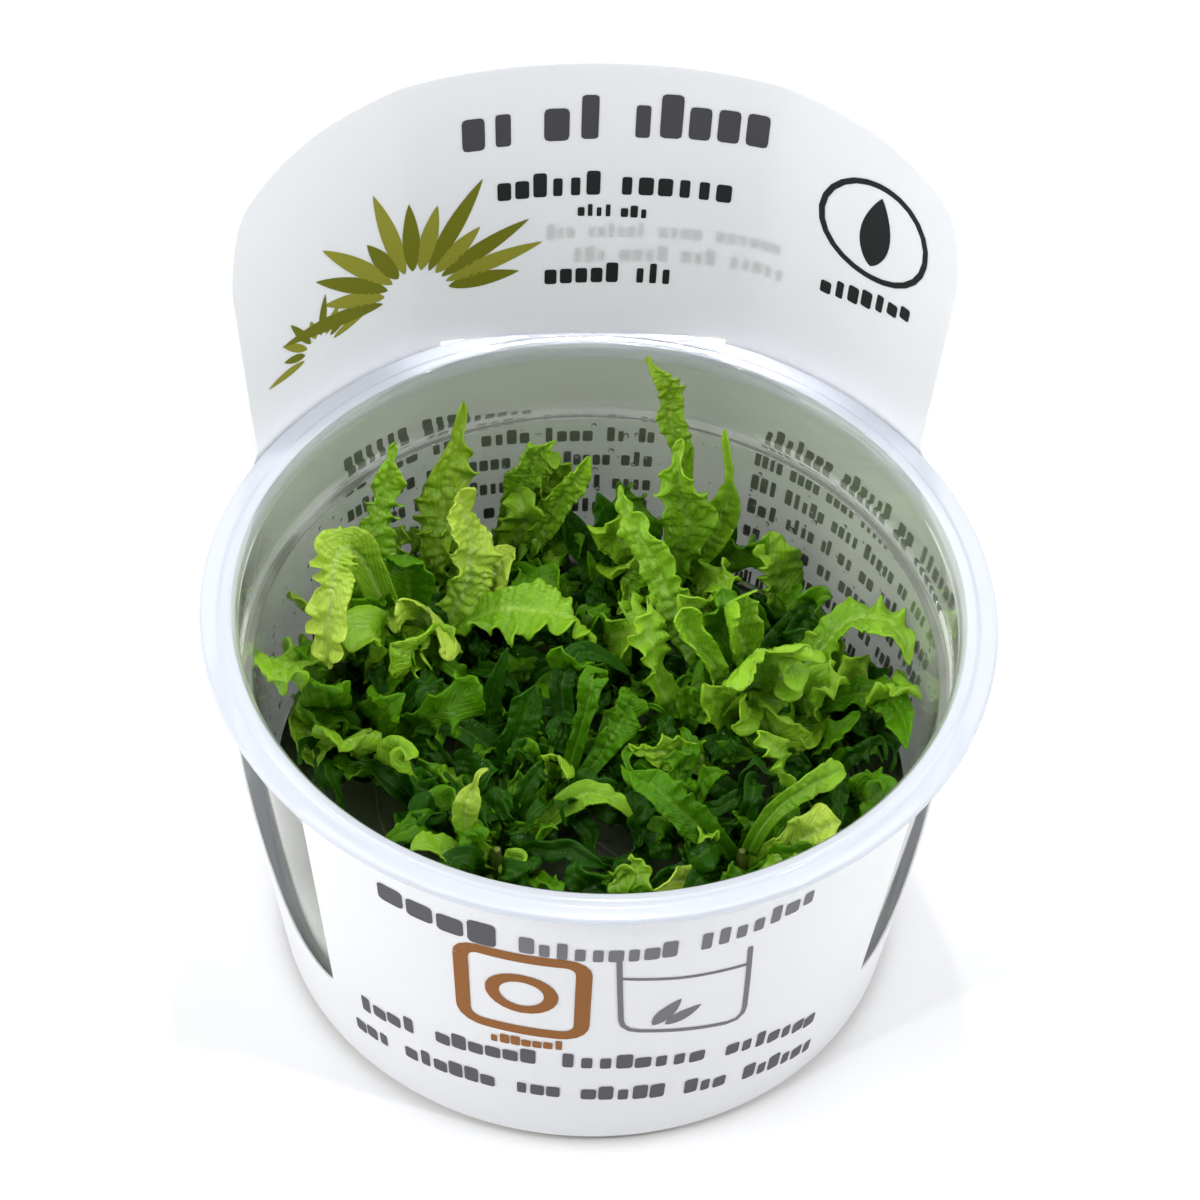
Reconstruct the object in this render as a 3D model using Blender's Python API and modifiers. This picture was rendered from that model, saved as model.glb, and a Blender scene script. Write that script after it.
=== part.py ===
# Tissue culture aquarium plant, a downoi, in its clear plastic growing cup.
# The cup stands on z = 0 with its axis on the origin. The printed sleeve's tall tab is at +Y
# and the label side faces -Y. The plantlets stand in a layer of clear jelly.

import math

import bmesh
import bpy
from mathutils import Vector

MM = 0.001

# Cup
CUP_HEIGHT = 64.2
FLANGE_RADIUS = 54.0
FLANGE_THICKNESS = 1.5
FLOOR_THICKNESS = 1.3
LEDGE_HEIGHT = 51.2
WALL_LEAN = 0.089
INNER_RADIUS_LOW = 42.75
WALL_THICKNESS = 1.1
ROUND_STEPS = 48

# Sleeve: one thin printed sheet wrapped round the cup
SLEEVE_THICKNESS = 0.35
SLEEVE_BOTTOM = 1.8
SLEEVE_BAND_TOP = 60.7
SLEEVE_BASE_RADIUS = 44.3
SLEEVE_LEAN_FRONT = 0.112
SLEEVE_LEAN_REAR = 0.166
SLEEVE_LEAN_TAB = 0.10
TAB_TOP = 110.2
TAB_DENT = 3.4
TAB_DENT_ANGLE = 27.0
SLIT_ANGLE = 26.5
SLIT_BOTTOM = 62.4
SLIT_TOP = 64.5
SLEEVE_COLUMN = 7.5

# Jelly
JELLY_TOP = 25.0
JELLY_GAP = 0.3

# Plantlets
CROWN_FOOT = 21.6
CROWN_TOP = 32.2
CROWN_RADIUS = 1.9
LEAF_THICKNESS = 0.4
LEAF_STEPS = 9
STALK_WIDTH = 1.1

CROWNS = {
    "left": (-26, 21),
    "back_left": (-12, 37),
    "back": (12, 33),
    "right": (24, 9),
    "centre": (-4, -4),
    "front_left": (-14, -17),
    "front_right": (20, -18),
}

# Each leaf: crown, tip in mm, arch above the straight line to the tip, bow to its left,
# where along it the arch is highest, width, the way its upper side faces, ruffle, tone
LEAVES = {
    "left_arching": ("left", (-37, 5, 45), 21, -4, 0.7, 5.5, "front", 1.2, "pale"),
    "left_upright": ("left", (-27, 36, 58), 3, 3, 0.7, 5.5, "front", 0.8, "lime"),
    "left_tall": ("left", (-17, 43, 59), -3, 0, 0.7, 6.0, "front", 0.9, "olive"),
    "left_curled": ("left", (-20, 33, 52), 2, -6, 1.0, 5.5, "front", 1.3, "pale"),
    "left_narrow": ("left", (-10, 30, 42), 1, -1, 1.0, 4.0, "up", 1.0, "pale"),
    "left_folded": ("left", (-25, 26, 48), 3, 0, 0.7, 7.0, "front", 0.5, "mid"),
    "left_hood": ("left", (-22, 18, 44), 4, -1, 0.7, 10.0, "front", 1.0, "pale"),
    "left_broad": ("left", (1, 15, 40), 7, 1, 1.5, 8.0, "up", 1.3, "lime"),
    "left_wall": ("left", (-45, 0, 49), 1, -3, 0.7, 7.5, "up", 1.0, "lime"),
    "left_front": ("left", (-39, -2, 32), 2, -5, 1.0, 6.5, "front", 1.2, "lime"),
    "left_speckled": ("left", (-23, 8, 33), 0, -2, 0.7, 5.5, "front", 1.2, "olive"),
    "left_shaded": ("left", (-42, 16, 48), -2, -2, 0.7, 8.0, "up", 0.8, "olive"),
    "back_left_long": ("back_left", (-5, 38, 56), 5, 2, 0.7, 4.5, "front", 0.8, "lime"),
    "back_left_split": ("back_left", (-5, 40, 46), 1, 2, 0.7, 4.5, "front", 0.5, "lime"),
    "back_left_side": ("back_left", (1, 38, 53), 0, 0, 0.7, 3.5, "front", 0.9, "lime"),
    "back_left_low": ("back_left", (0, 37, 33), 2, 3, 0.7, 6.0, "up", 0.3, "dark"),
    "back_tall": ("back", (9, 45, 66), 10, -3, 0.7, 5.0, "front", 0.7, "olive"),
    "back_star": ("back", (13, 33, 61), 0, -2, 0.7, 7.5, "front", 1.2, "pale"),
    "back_side": ("back", (20, 39, 57), -2, -4, 1.5, 5.5, "front", 0.8, "lime"),
    "back_dark": ("back", (22, 37, 41), -3, 0, 0.7, 6.0, "front", 0.3, "dark"),
    "back_strap": ("back", (-4, 40, 40), -1, 1, 0.7, 5.0, "front", 0.2, "dark"),
    "back_blade": ("back", (2, 37, 46), -2, 2, 0.7, 5.5, "front", 0.2, "dark"),
    "back_low": ("back", (1, 33, 38), -5, 3, 1.5, 4.0, "front", 0.5, "mid"),
    "back_curl": ("back", (5, 24, 34), 5, -1, 0.7, 3.0, "front", 1.0, "lime"),
    "right_long": ("right", (5, 33, 52), 1, 2, 0.7, 6.5, "front", 0.7, "lime"),
    "right_spoon": ("right", (12, 14, 48), 1, 2, 0.7, 4.0, "front", 0.5, "pale"),
    "right_hooded": ("right", (18, 15, 49), 1, -1, 0.7, 4.5, "front", 0.8, "lime"),
    "right_crinkled": ("right", (23, 4, 52), -1, 0, 0.7, 10.0, "front", 1.3, "lime"),
    "right_reaching": ("right", (45, 6, 43), 6, 7, 1.5, 6.0, "up", 0.8, "lime"),
    "right_broad": ("right", (33, 22, 38), -2, 0, 0.7, 10.0, "front", 0.3, "dark"),
    "right_dark": ("right", (43, 10, 37), -1, 1, 0.7, 6.0, "up", 0.2, "dark"),
    "right_outer": ("right", (43, -7, 40), 3, 7, 1.5, 5.5, "up", 0.8, "mid"),
    "right_wavy": ("right", (38, 2, 37), -2, -3, 1.0, 5.0, "up", 0.9, "mid"),
    "right_forward": ("right", (5, -3, 37), 0, 4, 0.7, 5.5, "front", 1.0, "lime"),
    "centre_blade": ("centre", (-8, 4, 42), -2, 5, 0.7, 6.5, "front", 0.2, "dark"),
    "centre_hooked": ("centre", (-1, 7, 33), 12, -2, 1.5, 3.5, "front", 0.4, "mid"),
    "centre_arch": ("centre", (6, 9, 38), 6, 7, 1.5, 4.5, "front", 0.2, "dark"),
    "centre_ruffled": ("centre", (6, 6, 38), 3, -2, 0.7, 4.0, "front", 1.0, "mid"),
    "centre_forked": ("centre", (-5, -7, 40), 0, -1, 0.7, 5.0, "front", 0.5, "lime"),
    "centre_shade": ("centre", (-12, 13, 40), -6, 5, 1.5, 4.0, "front", 0.3, "dark"),
    "centre_left": ("centre", (-28, -4, 31), 0, -2, 0.7, 5.5, "front", 0.2, "dark"),
    "centre_low": ("centre", (-25, 1, 36), 1, -3, 1.5, 4.5, "front", 0.2, "dark"),
    "front_left_hoop": ("front_left", (5, -14, 34), 5, 4, 1.5, 4.0, "up", 0.3, "lime"),
    "front_left_blade": ("front_left", (-16, -11, 43), 2, 3, 0.7, 4.5, "front", 0.3, "pale"),
    "front_left_rim": ("front_left", (-26, -22, 38), 1, 0, 0.7, 5.5, "up", 0.5, "lime"),
    "front_right_big": ("front_right", (4, -13, 43), 3, 1, 0.7, 6.0, "front", 0.2, "mid"),
    "front_right_thin": ("front_right", (34, -13, 43), 5, 0, 0.7, 3.5, "front", 0.3, "lime"),
    "front_right_pale": ("front_right", (33, -20, 40), 1, 0, 0.7, 5.5, "front", 0.5, "pale"),
    "front_right_low": ("front_right", (7, -26, 34), 1, 0, 0.7, 4.0, "front", 0.4, "pale"),
}

LEAF_COLOURS = {
    "pale": (0.52, 0.60, 0.30),
    "lime": (0.30, 0.45, 0.10),
    "olive": (0.26, 0.30, 0.09),
    "mid": (0.12, 0.26, 0.05),
    "dark": (0.05, 0.12, 0.05),
}


def clear_scene():
    for old in list(bpy.data.objects):
        bpy.data.objects.remove(old, do_unlink=True)


def collection(name):
    made = bpy.data.collections.new(name)
    bpy.context.scene.collection.children.link(made)
    return made


def material(name, colour, roughness, transmission=0.0, ior=1.5):
    made = bpy.data.materials.new(name)
    made.use_nodes = True
    shader = made.node_tree.nodes["Principled BSDF"]
    shader.inputs["Base Color"].default_value = (*colour, 1.0)
    shader.inputs["Roughness"].default_value = roughness
    shader.inputs["Transmission Weight"].default_value = transmission
    shader.inputs["IOR"].default_value = ior
    return made


def add_object(name, mesh, look, home):
    made = bpy.data.objects.new(name, mesh)
    mesh.materials.append(look)
    home.objects.link(made)
    return made


def smooth(made, angle=35):
    made.data.shade_smooth()
    made.data.set_sharp_from_angle(angle=math.radians(angle))


def turned(name, profile, look, home, steps=ROUND_STEPS):
    """A profile of (radius, height) points in mm, turned about Z."""
    mesh = bpy.data.meshes.new(name)
    points = [(r * MM, 0.0, z * MM) for r, z in profile]
    mesh.from_pydata(points, [(i, i + 1) for i in range(len(points) - 1)], [])
    made = add_object(name, mesh, look, home)
    screw = made.modifiers.new("turn", "SCREW")
    screw.axis = "Z"
    screw.steps = steps
    screw.render_steps = steps
    screw.use_merge_vertices = True
    screw.merge_threshold = 0.00001
    screw.use_smooth_shade = True
    return made


def inner_wall(z):
    return INNER_RADIUS_LOW + WALL_LEAN * z


def smoothstep(low, high, value):
    t = min(max((value - low) / (high - low), 0.0), 1.0)
    return t * t * (3 - 2 * t)


def make_cup(look, home):
    lip = inner_wall(LEDGE_HEIGHT) + 1.5
    skirt = CUP_HEIGHT - FLANGE_THICKNESS
    outer_low = inner_wall(1.2) + WALL_THICKNESS - 0.1
    outer_ledge = inner_wall(LEDGE_HEIGHT) + WALL_THICKNESS
    profile = [
        (0.0, FLOOR_THICKNESS),
        (40.8, FLOOR_THICKNESS),
        (42.4, 1.8),
        (inner_wall(3.2), 3.2),
        (inner_wall(LEDGE_HEIGHT), LEDGE_HEIGHT),
        (lip - 0.1, LEDGE_HEIGHT + 0.7),
        (lip, CUP_HEIGHT - 1.9),
        (lip + 0.3, CUP_HEIGHT - 0.6),
        (lip + 1.1, CUP_HEIGHT),
        (FLANGE_RADIUS - 0.4, CUP_HEIGHT),
        (FLANGE_RADIUS, CUP_HEIGHT - 0.4),
        (FLANGE_RADIUS, skirt + 0.2),
        (FLANGE_RADIUS - 0.2, skirt),
        (lip + 1.7, skirt),
        (lip + 0.9, skirt - 0.9),
        (outer_ledge + 1.2, LEDGE_HEIGHT + 1.7),
        (outer_ledge, LEDGE_HEIGHT - 0.3),
        (outer_low, 1.2),
        (outer_low - 1.1, 0.0),
        (0.0, 0.0),
    ]
    return turned("cup", profile, look, home)


def sleeve_outline():
    """Half of the die-cut blank, as (angle from the middle of the rear, height)."""
    corner = 3.4
    band_side = 127.5
    band = [(180.0, SLEEVE_BOTTOM), (180.0, SLEEVE_BAND_TOP)]
    for i in range(5):
        turn = math.radians(22.5 * i)
        across = band_side + corner * (1 - math.sin(turn))
        band.append((across, SLEEVE_BAND_TOP - 3.0 * (1 - math.cos(turn))))
    slot = [
        (127.5, 17.5),
        (126.0, 16.6),
        (122.0, 16.2),
        (116.0, 17.0),
        (110.5, 19.8),
        (105.0, 24.0),
        (97.5, 30.0),
        (90.0, 36.0),
        (82.5, 43.0),
        (75.0, 50.0),
        (67.5, 56.5),
        (61.0, 61.6),
        (58.5, 64.5),
    ]
    tab = [
        (58.5, 93.0),
        (57.0, 98.2),
        (54.2, 102.9),
        (48.0, 105.6),
        (40.0, 107.6),
        (32.3, 108.6),
        (24.0, 109.4),
        (12.0, 110.0),
        (0.0, TAB_TOP),
    ]
    slit = [
        (0.0, SLIT_TOP),
        (SLIT_ANGLE, SLIT_TOP),
        (SLIT_ANGLE, SLIT_BOTTOM),
        (0.0, SLIT_BOTTOM),
    ]
    return [(0.0, SLEEVE_BOTTOM)] + band + slot + tab + slit


def sleeve_radius(angle, z):
    """Inner radius of the wrapped sheet: close to the cup in front, flaring and dented behind."""
    up = z - SLEEVE_BOTTOM
    front = SLEEVE_BASE_RADIUS + SLEEVE_LEAN_FRONT * up
    rear = SLEEVE_BASE_RADIUS + SLEEVE_LEAN_REAR * min(up, SLIT_BOTTOM - SLEEVE_BOTTOM)
    rear += SLEEVE_LEAN_TAB * max(z - SLIT_BOTTOM, 0.0)
    share = smoothstep(80.0, 120.0, angle)
    bump = max(0.0, 1 - (angle / TAB_DENT_ANGLE) ** 2) ** 1.3
    lift = smoothstep(SLIT_BOTTOM, TAB_TOP, z)
    dent = min(rear - front, TAB_DENT) * (1 - 0.2 * lift)
    return front * share + rear * (1 - share) - dent * bump


def make_sleeve(look, home):
    outline = sleeve_outline()
    curve = bpy.data.curves.new("sleeve blank", "CURVE")
    curve.dimensions = "2D"
    curve.fill_mode = "BOTH"
    spline = curve.splines.new("POLY")
    spline.points.add(len(outline) - 1)
    for point, (angle, z) in zip(spline.points, outline):
        point.co = (angle, z, 0.0, 1.0)
    spline.use_cyclic_u = True
    blank = bpy.data.objects.new("sleeve blank", curve)
    home.objects.link(blank)
    graph = bpy.context.evaluated_depsgraph_get()
    mesh = bpy.data.meshes.new_from_object(blank.evaluated_get(graph))
    bpy.data.objects.remove(blank, do_unlink=True)
    mesh.name = "sleeve"
    mesh.materials.clear()

    work = bmesh.new()
    work.from_mesh(mesh)
    bmesh.ops.remove_doubles(work, verts=work.verts, dist=0.0001)
    bmesh.ops.dissolve_limit(
        work, angle_limit=0.01, verts=work.verts, edges=work.edges, delimit=set()
    )
    columns = [(SLEEVE_COLUMN * i, 0.0, 0.0) for i in range(1, 24)]
    rows = [(0.0, z, 0.0) for z in (16.2, 40.0, SLIT_BOTTOM, SLIT_TOP, 80.0, 95.0)]
    for place, way in [(p, (1, 0, 0)) for p in columns] + [(p, (0, 1, 0)) for p in rows]:
        bmesh.ops.bisect_plane(
            work,
            geom=work.verts[:] + work.edges[:] + work.faces[:],
            dist=0.0001,
            plane_co=place,
            plane_no=way,
        )
    for vert in work.verts:
        angle, z = vert.co.x, vert.co.y
        r = sleeve_radius(angle, z)
        turn = math.radians(angle)
        x = 0.0 if angle < 0.001 or angle > 179.999 else r * math.sin(turn)
        vert.co = (x * MM, r * math.cos(turn) * MM, z * MM)
    bmesh.ops.recalc_face_normals(work, faces=work.faces)
    # The sheet must face away from the axis, so that it thickens outwards.
    outward = sum(
        face.normal.dot(Vector((*face.calc_center_median().xy, 0.0))) for face in work.faces
    )
    if outward < 0:
        bmesh.ops.reverse_faces(work, faces=work.faces)
    work.to_mesh(mesh)
    work.free()

    made = add_object("sleeve", mesh, look, home)
    mirror = made.modifiers.new("other half", "MIRROR")
    mirror.use_axis = (True, False, False)
    mirror.merge_threshold = 0.00001
    thick = made.modifiers.new("sheet", "SOLIDIFY")
    thick.thickness = SLEEVE_THICKNESS * MM
    thick.offset = 1.0
    smooth(made, 40)
    return made


def make_jelly(look, home, cutters):
    edge = inner_wall(JELLY_TOP + 1.3) - JELLY_GAP
    profile = [
        (0.0, JELLY_TOP),
        (edge - 2.2, JELLY_TOP),
        (edge - 0.8, JELLY_TOP + 0.3),
        (edge, JELLY_TOP + 1.2),
        (inner_wall(3.4) - JELLY_GAP, 3.4),
        (42.0, 2.1),
        (40.7, FLOOR_THICKNESS + JELLY_GAP),
        (0.0, FLOOR_THICKNESS + JELLY_GAP),
    ]
    jelly = turned("jelly", profile, look, home)
    for name, (x, y) in CROWNS.items():
        bpy.ops.mesh.primitive_cone_add(
            vertices=12,
            radius1=(CROWN_RADIUS + JELLY_GAP) * MM,
            radius2=(CROWN_RADIUS + JELLY_GAP + 0.4) * MM,
            depth=8 * MM,
            location=(x * MM, y * MM, (CROWN_FOOT - JELLY_GAP + 4) * MM),
        )
        cutter = bpy.context.object
        cutter.name = "pit_" + name
        cutter.hide_render = True
        cutter.display_type = "WIRE"
        for other in list(cutter.users_collection):
            other.objects.unlink(cutter)
        cutters.objects.link(cutter)
        cut = jelly.modifiers.new("pit " + name, "BOOLEAN")
        cut.operation = "DIFFERENCE"
        cut.solver = "EXACT"
        cut.object = cutter
    return jelly


def make_crown(name, x, y, look, home):
    profile = [
        (0.0, CROWN_TOP),
        (0.5, CROWN_TOP - 0.4),
        (0.9, 28.6),
        (1.3, 26.2),
        (CROWN_RADIUS, 24.2),
        (CROWN_RADIUS - 0.4, CROWN_FOOT + 0.3),
        (0.7, CROWN_FOOT),
        (0.0, CROWN_FOOT),
    ]
    made = turned("crown_" + name, profile, look, home, steps=8)
    made.location = (x * MM, y * MM, 0.0)
    return made


def crown_radius(z):
    """Outer radius of a crown at this height."""
    if z > 28.6:
        return 0.9 - 0.4 * (z - 28.6) / (CROWN_TOP - 29.0)
    return 1.3 - 0.4 * (z - 26.2) / 2.4


def leaf_bases():
    """Where each leaf leaves its crown: the flatter ones low down, the steep ones at the top."""
    bases = {}
    for crown, (x, y) in CROWNS.items():
        mine = [name for name, leaf in LEAVES.items() if leaf[0] == crown]

        def rise(name):
            tip, arch = LEAVES[name][1], LEAVES[name][2]
            out = math.hypot(tip[0] - x, tip[1] - y)
            return (tip[2] - 28 + 2 * arch) / (out + 4)

        mine.sort(key=rise)
        for i, name in enumerate(mine):
            _, tip, _, bow, late = LEAVES[name][:5]
            z = 26.0 + 5.4 * (i + 0.5) / len(mine)
            start = leaf_spine(Vector((x, y, z)), Vector(tip), 0.0, bow, late, 0.15)
            way = Vector((start.x - x, start.y - y, 0.0))
            way.normalize()
            r = crown_radius(z) + 0.5
            bases[name] = Vector((x + way.x * r, y + way.y * r, z))
    return bases


def leaf_width(t, width):
    """Width along the leaf: a narrow foot, widest past the middle, then a rounded tip."""
    swell = smoothstep(0.0, 0.55, t)
    close = max(0.0, 1 - max(0.0, (t - 0.62) / 0.38) ** 2.4)
    return STALK_WIDTH + (width - STALK_WIDTH) * swell * close - 0.5 * STALK_WIDTH * (1 - close)


def leaf_spine(base, tip, arch, bow, late, t):
    along = tip - base
    side = Vector((-along.y, along.x, 0.0))
    side.normalize()
    s = t**late
    hump = 4 * s * (1 - s)
    return base + along * t + Vector((0, 0, 1)) * (arch * hump) + side * (bow * hump)


def make_leaf(name, leaf, base, look, home):
    _, tip, arch, bow, late, width, facing, ruffle, _ = leaf
    tip = Vector(tip)
    front = {
        "front": Vector((0.0, -0.66, 0.75)),
        "up": Vector((0.0, 0.0, 1.0)),
        "out": Vector((tip.x, tip.y, 10.0)).normalized(),
    }[facing]
    bpy.ops.mesh.primitive_grid_add(x_subdivisions=LEAF_STEPS, y_subdivisions=2, size=2)
    made = bpy.context.object
    made.name = "leaf_" + name
    made.data.name = made.name
    for other in list(made.users_collection):
        other.objects.unlink(made)
    home.objects.link(made)
    made.data.materials.append(look)
    for vert in made.data.vertices:
        t = (vert.co.x + 1) / 2
        across = vert.co.y
        here = leaf_spine(base, tip, arch, bow, late, t)
        ahead = leaf_spine(base, tip, arch, bow, late, min(t + 0.02, 1.0))
        behind = leaf_spine(base, tip, arch, bow, late, max(t - 0.02, 0.0))
        tangent = (ahead - behind).normalized()
        normal = front - tangent * front.dot(tangent)
        normal.normalize()
        side = normal.cross(tangent)
        half = leaf_width(t, width) / 2
        step = round(t * LEAF_STEPS)
        wave = (1 if step % 2 else -1) * ruffle * 0.4 * smoothstep(0.15, 0.5, t)
        lift = abs(across) * (0.28 * half + wave * min(1.0, half / 2))
        vert.co = (here + side * (across * half) + normal * lift) * MM
    thick = made.modifiers.new("thickness", "SOLIDIFY")
    thick.thickness = LEAF_THICKNESS * MM
    thick.offset = 0.0
    smooth(made, 60)
    return made


clear_scene()
downoi = collection("downoi_in_cup")
cutters = collection("cutters")

clear_plastic = material("clear_plastic", (0.90, 0.94, 0.95), 0.08, 0.9, 1.5)
printed_sheet = material("printed_sheet", (0.80, 0.81, 0.83), 0.35)
clear_jelly = material("clear_jelly", (0.55, 0.60, 0.48), 0.05, 0.8, 1.34)
pale_stem = material("pale_stem", (0.45, 0.50, 0.22), 0.5)
leaf_looks = {
    tone: material(tone + "_leaf", colour, 0.45) for tone, colour in LEAF_COLOURS.items()
}

make_cup(clear_plastic, downoi)
make_sleeve(printed_sheet, downoi)
make_jelly(clear_jelly, downoi, cutters)
for crown_name, (crown_x, crown_y) in CROWNS.items():
    make_crown(crown_name, crown_x, crown_y, pale_stem, downoi)
leaf_feet = leaf_bases()
for leaf_name, leaf_numbers in LEAVES.items():
    foot = leaf_feet[leaf_name]
    make_leaf(leaf_name, leaf_numbers, foot, leaf_looks[leaf_numbers[-1]], downoi)
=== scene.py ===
import math
import random

import bpy
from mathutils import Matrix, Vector, noise


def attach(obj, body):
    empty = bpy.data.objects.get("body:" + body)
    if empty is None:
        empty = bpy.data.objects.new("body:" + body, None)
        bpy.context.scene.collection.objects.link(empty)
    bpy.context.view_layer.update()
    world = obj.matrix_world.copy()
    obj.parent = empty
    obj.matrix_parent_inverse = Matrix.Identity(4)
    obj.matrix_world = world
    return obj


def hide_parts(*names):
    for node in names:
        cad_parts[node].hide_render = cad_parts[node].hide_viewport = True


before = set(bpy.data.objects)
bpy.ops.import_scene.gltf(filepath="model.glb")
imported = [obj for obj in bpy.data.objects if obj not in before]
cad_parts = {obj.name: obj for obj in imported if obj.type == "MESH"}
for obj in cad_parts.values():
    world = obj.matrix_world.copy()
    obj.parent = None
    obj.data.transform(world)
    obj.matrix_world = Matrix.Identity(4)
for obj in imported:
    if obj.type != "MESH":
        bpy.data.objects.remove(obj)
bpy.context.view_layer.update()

mm = 0.001


def fromHex(code, alpha=1.0):
    parts = [int(code[i:i + 2], 16) / 255 for i in (1, 3, 5)]
    linear = [c / 12.92 if c <= 0.04045 else ((c + 0.055) / 1.055) ** 2.4 for c in parts]
    return (*linear, alpha)


def addNode(tree, kind, settings=None, links=None):
    node = tree.nodes.new(kind)
    for key, value in (settings or {}).items():
        if key == "stops":  # colour ramp stops, as (place, colour)
            ramp = node.color_ramp.elements
            while len(ramp) < len(value):
                ramp.new(0.5)
            for stop, (place, colour) in zip(ramp, value):
                stop.position, stop.color = place, colour
        elif isinstance(key, str) and hasattr(node, key):
            setattr(node, key, value)
        else:
            node.inputs[key].default_value = value
    for key, socket in (links or {}).items():
        tree.links.new(socket, node.inputs[key])
    return node


def newMaterial(name, **sockets):
    made = bpy.data.materials.new(name)
    made.use_nodes = True
    shader = made.node_tree.nodes["Principled BSDF"]
    for key, value in sockets.items():
        shader.inputs[key.replace("_", " ")].default_value = value
    return made, made.node_tree, shader


def smoothStep(low, high, value):
    t = min(max((value - low) / (high - low), 0.0), 1.0)
    return t * t * (3 - 2 * t)


def clearSelection():
    if bpy.context.mode != "OBJECT":
        bpy.ops.object.mode_set(mode="OBJECT")
    bpy.ops.object.select_all(action="DESELECT")


def finishPiece(piece, name, look, replaced=(), smoothAngle=None):
    # modifiers and place go into the mesh, then the piece gets its finish and rides on the cup
    clearSelection()
    piece.select_set(True)
    bpy.context.view_layer.objects.active = piece
    for modifier in list(piece.modifiers):
        bpy.ops.object.modifier_apply(modifier=modifier.name)
    bpy.ops.object.transform_apply(location=True, rotation=True, scale=True)
    piece.name = piece.data.name = name
    piece.data.materials.clear()
    piece.data.materials.append(look)
    if smoothAngle is not None:
        bpy.ops.object.shade_smooth_by_angle(angle=math.radians(smoothAngle))
    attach(piece, "root")
    if replaced:
        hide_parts(*replaced)
    return piece


def joinPieces(parts):
    clearSelection()
    for part in parts:
        part.select_set(True)
    bpy.context.view_layer.objects.active = parts[0]
    if len(parts) > 1:
        bpy.ops.object.join()
    return parts[0]


grids = {}


def gridCopy(steps, sides):
    # one flat grid of each size is modelled, and every strip and leaf blade starts as a copy of it
    if (steps, sides) not in grids:
        clearSelection()
        bpy.ops.mesh.primitive_grid_add(x_subdivisions=steps, y_subdivisions=sides, size=2)
        grids[steps, sides] = bpy.context.object
    copy = grids[steps, sides].copy()
    copy.data = copy.data.copy()
    bpy.context.scene.collection.objects.link(copy)
    return copy


def thicken(piece, thickness, offset=0.0):
    sheet = piece.modifiers.new("thickness", "SOLIDIFY")
    sheet.thickness, sheet.offset = thickness * mm, offset
    return piece


# Camera: the photograph's view, from a little to the left and above
camera = {"target": (0.0, 0.0, 0.0642), "azimuth": -5.0, "elevation": 48.116, "roll": 2.987,
          "distance": 0.51382, "lens": 114.0}
turn, rise, roll = (math.radians(camera[key]) for key in ("azimuth", "elevation", "roll"))
back = Vector((math.cos(rise) * math.sin(turn), -math.cos(rise) * math.cos(turn), math.sin(rise)))
level = Vector((math.cos(turn), math.sin(turn), 0.0))
upright = back.cross(level)
right = level * math.cos(roll) + upright * math.sin(roll)
up = upright * math.cos(roll) - level * math.sin(roll)
bpy.ops.object.camera_add(location=Vector(camera["target"]) + back * camera["distance"])
viewer = bpy.context.object
viewer.name = "viewer"
viewer.data.lens = camera["lens"]
viewer.data.sensor_width = 36.0
viewer.data.clip_start = 0.01
viewer.data.clip_end = 20.0
matrix = viewer.matrix_world.copy()
for row in range(3):
    matrix[row][0], matrix[row][1], matrix[row][2] = right[row], up[row], back[row]
viewer.matrix_world = matrix
bpy.context.scene.camera = viewer
print("camera set")

# Cup: injection moulded clear plastic, turned ring by ring, every corner softened
cup = {
    "sides": 192,
    # where the plastic is thicker, in mm: the flange, the ledge and the foot; the ledge carries a painted
    # highlight line and the foot a painted shade
    "flangeAbove": 60.5, "flangeOutside": 49.7, "ledge": (50.8, 52.4), "footBelow": 2.0, "footOutside": 43.2,
    # (radius, height, rounding) of each corner in mm, from inside the floor over the rim to the base
    "profile": [
        (0.6, 1.3, 0), (41.0, 1.3, 1.0), (43.03, 3.2, 1.2), (47.31, 51.2, 0.25), (48.71, 51.9, 0.3),
        (48.81, 62.6, 0.4), (49.7, 64.2, 0.8), (51.1, 64.2, 0.35), (51.6, 63.85, 0.3), (54.0, 63.8, 0.45),
        (54.0, 62.7, 0.3), (50.1, 62.7, 0.6),
        (49.6, 61.4, 0.5), (49.6, 52.9, 0.5), (48.4, 50.9, 0.5), (43.9, 0.0, 1.0), (41.6, 0.0, 0.3),
        (41.2, 0.35, 0.2), (0.6, 0.35, 0),
    ],
}


def softened(profile, steps=4):
    # rounds each corner with a short curve that leaves its two sides smoothly
    rings = []
    for i, (r, z, size) in enumerate(profile):
        if not size:
            rings.append((r, z))
            continue
        here = Vector((r, z))
        ends = []
        for other in (profile[i - 1], profile[i + 1]):
            way = Vector(other[:2]) - here
            ends.append(here + way.normalized() * min(size, way.length * 0.45))
        for k in range(steps + 1):
            t = k / steps
            spot = ends[0] * (1 - t) ** 2 + here * 2 * t * (1 - t) + ends[1] * t ** 2
            rings.append((spot.x, spot.y))
    return rings


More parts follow.
